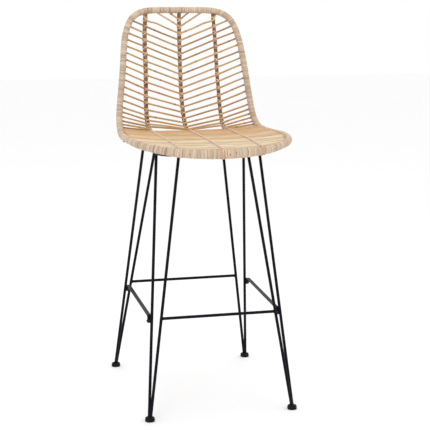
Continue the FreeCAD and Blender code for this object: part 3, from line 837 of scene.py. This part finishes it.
for slat in range(SLAT_COUNT):
    skin = Skin()
    batch = dice.gauss(0.0, 0.16)
    for k in range(STRANDS_PER_SLAT):
        number = slat * STRANDS_PER_SLAT + k
        forward = number / (SLAT_COUNT * STRANDS_PER_SLAT)
        tint = min(1.0, max(0.0, 1.15 * forward + batch + dice.gauss(0.0, 0.24)))
        seat_strand(skin, strand_middle(number), tint)
    make_piece("seat_strands_%02d" % (slat + 1), skin, "rattan_split_slat",
               "seat_slat_%02d" % (slat + 1))


# ---- stitching along the ribs under the seat -----------------------------------------------
def rib_at(side, y):
    """Point of a rib's axis under the seat at y."""
    line = [p for p in ribs[side].dense if p.z < UNDER_SEAT_Z]
    return min(line, key=lambda p: abs(p.y - y))


def stitch(skin, side, number, lean):
    """A loop of peel over one strand and round the rib below it."""
    middle = strand_middle(number)
    below = rib_at(side, middle)
    top = seat_top(middle) + dish(below.x)
    reach = RIB_RADIUS[side] + STITCH_GAP
    gap = strand_pitch / 2
    corners = []
    for across, along, z in (
            (-4.0, 0.92, top - 0.2), (-1.7, 0.42, top + 0.9), (1.7, -0.42, top + 0.9),
            (4.0, -0.92, top - 0.2), (4.8, -1.0, top - 5.0), (reach, -0.6, below.z),
            (0.0, 0.0, below.z - reach), (-reach, 0.6, below.z), (-4.8, 1.0, top - 5.0)):
        corners.append(Vector((below.x + across * lean, middle + along * gap, z)))
    strap_loop(skin, corners, Vector((below.x, middle, (top + below.z) / 2)),
               STITCH_WIDTH, STITCH_THICKNESS, dice.uniform(0.7, 1.0), 30)


skin = Skin()
for side in ribs:
    for number in range(SLAT_COUNT * STRANDS_PER_SLAT):
        middle = strand_middle(number)
        if half_width(middle) < abs(rib_at(side, middle).x) + STITCH_CLEARANCE:
            continue
        stitch(skin, side, number, 1)
        crossed = number % STRANDS_PER_SLAT != 1
        if crossed:
            stitch(skin, side, number, -1)
make_piece("seat_stitches", skin, "rattan_binding", "seat_stitching")


# ---- peel turns over the front rim where the ribs end --------------------------------------
def rim_turns(skin, s_middle, count, spread):
    """Peel wound over the rim pole side by side, across a stretch of it."""
    for k in range(count):
        s = s_middle + (k - (count - 1) / 2) * spread + dice.uniform(-0.2, 0.2)
        centre, tangent = seat_loop.point(s), seat_loop.tangent(s)
        side = tangent.cross(Vector((0, 0, 1))).normalized()
        upright = side.cross(tangent)
        wide = SEAT_RIM_WIDTH / 2 + RIM_TURN_GAP
        high = seat_rim_height(s) / 2 + RIM_TURN_GAP
        skew = dice.uniform(-0.8, 0.8)
        around = []
        for j in range(10):
            turn = 2 * math.pi * j / 10
            around.append(centre + side * (wide * math.cos(turn)) + upright * (high * math.sin(turn))
                          + tangent * (skew * math.sin(turn)))
        strap_loop(skin, around, centre, spread * 1.04, RIM_TURN_THICKNESS,
                   dice.uniform(0.1, 0.9), 30)


skin = Skin()
rim_turns(skin, front_middle, 4, 3.2)
front_stretch = [p for p in seat_loop.dense if p.y < RIM_POINTS[CORNER_POINT + 1][1]]
for x in (-RIM_TURN_X, RIM_TURN_X):
    goal = min(front_stretch, key=lambda p: abs(p.x - x))
    rim_turns(skin, seat_loop.nearest(goal), 3, 3.0)
make_piece("front_rim_lashings", skin, "rattan_binding")


# ---- welds ---------------------------------------------------------------------------------
WELD_SIZE = 0.9


def weld_bead(skin, centre, axis, radius, thickness):
    """A lumpy ring of weld metal round a rod."""
    side = axis.orthogonal().normalized()
    across = axis.cross(side)
    stations, sides = 28, 8
    rings = []
    for i in range(stations):
        turn = 2 * math.pi * i / stations
        away = side * math.cos(turn) + across * math.sin(turn)
        lump = thickness * (1 + 0.16 * math.sin(7 * turn) + dice.uniform(-0.06, 0.06))
        ring = []
        for j in range(sides):
            roll = 2 * math.pi * j / sides
            place = centre + away * (radius + lump * math.cos(roll)) + axis * (lump * math.sin(roll))
            ring.append(skin.add(place, (0, 0, 0)))
        rings.append(ring)
    skin.join(rings, 0.5, closed=True)


skin = Skin()
for end, spec in LEGS.items():
    uppers = [Vector((*spec[key], UPPER_Z)) for key in ("across", "side")]
    apart = (uppers[1] - uppers[0]).normalized()
    foot = Vector((*spec["foot"], LEG_END_Z))
    for key, upper, sign in zip(("across", "side"), uppers, (-1, 1)):
        bottom = foot + apart * (sign * LEG_END_HALF_GAP)
        slope = (upper - bottom) / (UPPER_Z - LEG_END_Z)
        way = slope.normalized()
        joint = bottom + slope * (RING_Z - ROD_RADIUS - WELD_SIZE / 1.5 - LEG_END_Z)
        rail_point = bottom + slope * (RAIL_Z[end] - LEG_END_Z)
        for mirror in (1, -1):
            place = Vector((joint.x * mirror, joint.y, joint.z))
            way_up = Vector((way.x * mirror, way.y, way.z))
            weld_bead(skin, place, way_up, ROD_RADIUS + 0.1, WELD_SIZE)
            if key == "across":
                inward = rail_point.x + ROD_RADIUS + 0.2
                place = Vector((inward * mirror, rail_point.y, rail_point.z))
                weld_bead(skin, place, Vector((1, 0, 0)), ROD_RADIUS + 0.05, WELD_SIZE)
make_piece("weld_beads", skin, "black_steel")

# ---- CAD pieces that stay ------------------------------------------------------------------
for entry in frame["record"]["subparts"]:
    held = frame["nodes"].get(entry["node"])
    if held is not None:
        held.data.materials.clear()
        held.data.materials.append(materials[entry["material_slot"]])

# ---- floor, light and camera ---------------------------------------------------------------
floor_paint = Paint("studio_floor")
floor_cloud = floor_paint.space_noise(3.0)
floor_paint.set("Base Color", floor_paint.mix(floor_cloud, colour(253, 253, 253),
                                              colour(251, 251, 252)))
floor_paint.set("Roughness", 0.85)
floor_mesh = bpy.data.meshes.new("studio_floor")
FLOOR_REACH = 14.0
floor_corners = [(x * FLOOR_REACH, y * FLOOR_REACH, 0) for x, y in ((-1, -1), (1, -1), (1, 1), (-1, 1))]
floor_mesh.from_pydata(floor_corners, [], [(0, 1, 2, 3)])
floor_mesh.materials.append(floor_paint.material)
floor = bpy.data.objects.new("studio_floor", floor_mesh)
bpy.context.scene.collection.objects.link(floor)


def area_light(name, place, aim, size, power):
    """A soft round lamp at a place, turned towards its aim."""
    lamp = bpy.data.lights.new(name, "AREA")
    lamp.shape = "DISK"
    lamp.size = size
    lamp.energy = power
    holder = bpy.data.objects.new(name, lamp)
    holder.location = place
    holder.rotation_euler = (Vector(aim) - Vector(place)).to_track_quat("-Z", "Y").to_euler()
    bpy.context.scene.collection.objects.link(holder)


area_light("key", (-1.6, -2.6, 3.0), (0, 0, 0.75), 1.6, 26.0)
area_light("fill", (2.6, -1.6, 1.8), (0, 0, 0.7), 2.2, 8.0)
area_light("top", (0.3, 0.8, 3.4), (0, 0, 0.8), 2.0, 10.0)

world = bpy.data.worlds.new("studio")
world.use_nodes = True
world.node_tree.nodes["Background"].inputs["Color"].default_value = (1.0, 1.0, 1.0, 1.0)
world.node_tree.nodes["Background"].inputs["Strength"].default_value = 1.0
bpy.context.scene.world = world
bpy.context.scene.view_settings.view_transform = "Standard"

AZIMUTH = math.radians(-14.27)
ELEVATION = math.radians(10.26)
DISTANCE = 3.538
LENS = 100.4
TARGET = Vector((0.0429, -0.01025, 0.5273))
backward = Vector((math.sin(AZIMUTH) * math.cos(ELEVATION),
                   -math.cos(AZIMUTH) * math.cos(ELEVATION), math.sin(ELEVATION)))
lens = bpy.data.cameras.new("camera")
lens.lens = LENS
lens.sensor_width = 36.0
camera = bpy.data.objects.new("camera", lens)
camera.location = TARGET + backward * DISTANCE
camera.rotation_euler = (-backward).to_track_quat("-Z", "Y").to_euler()
bpy.context.scene.collection.objects.link(camera)
bpy.context.scene.camera = camera
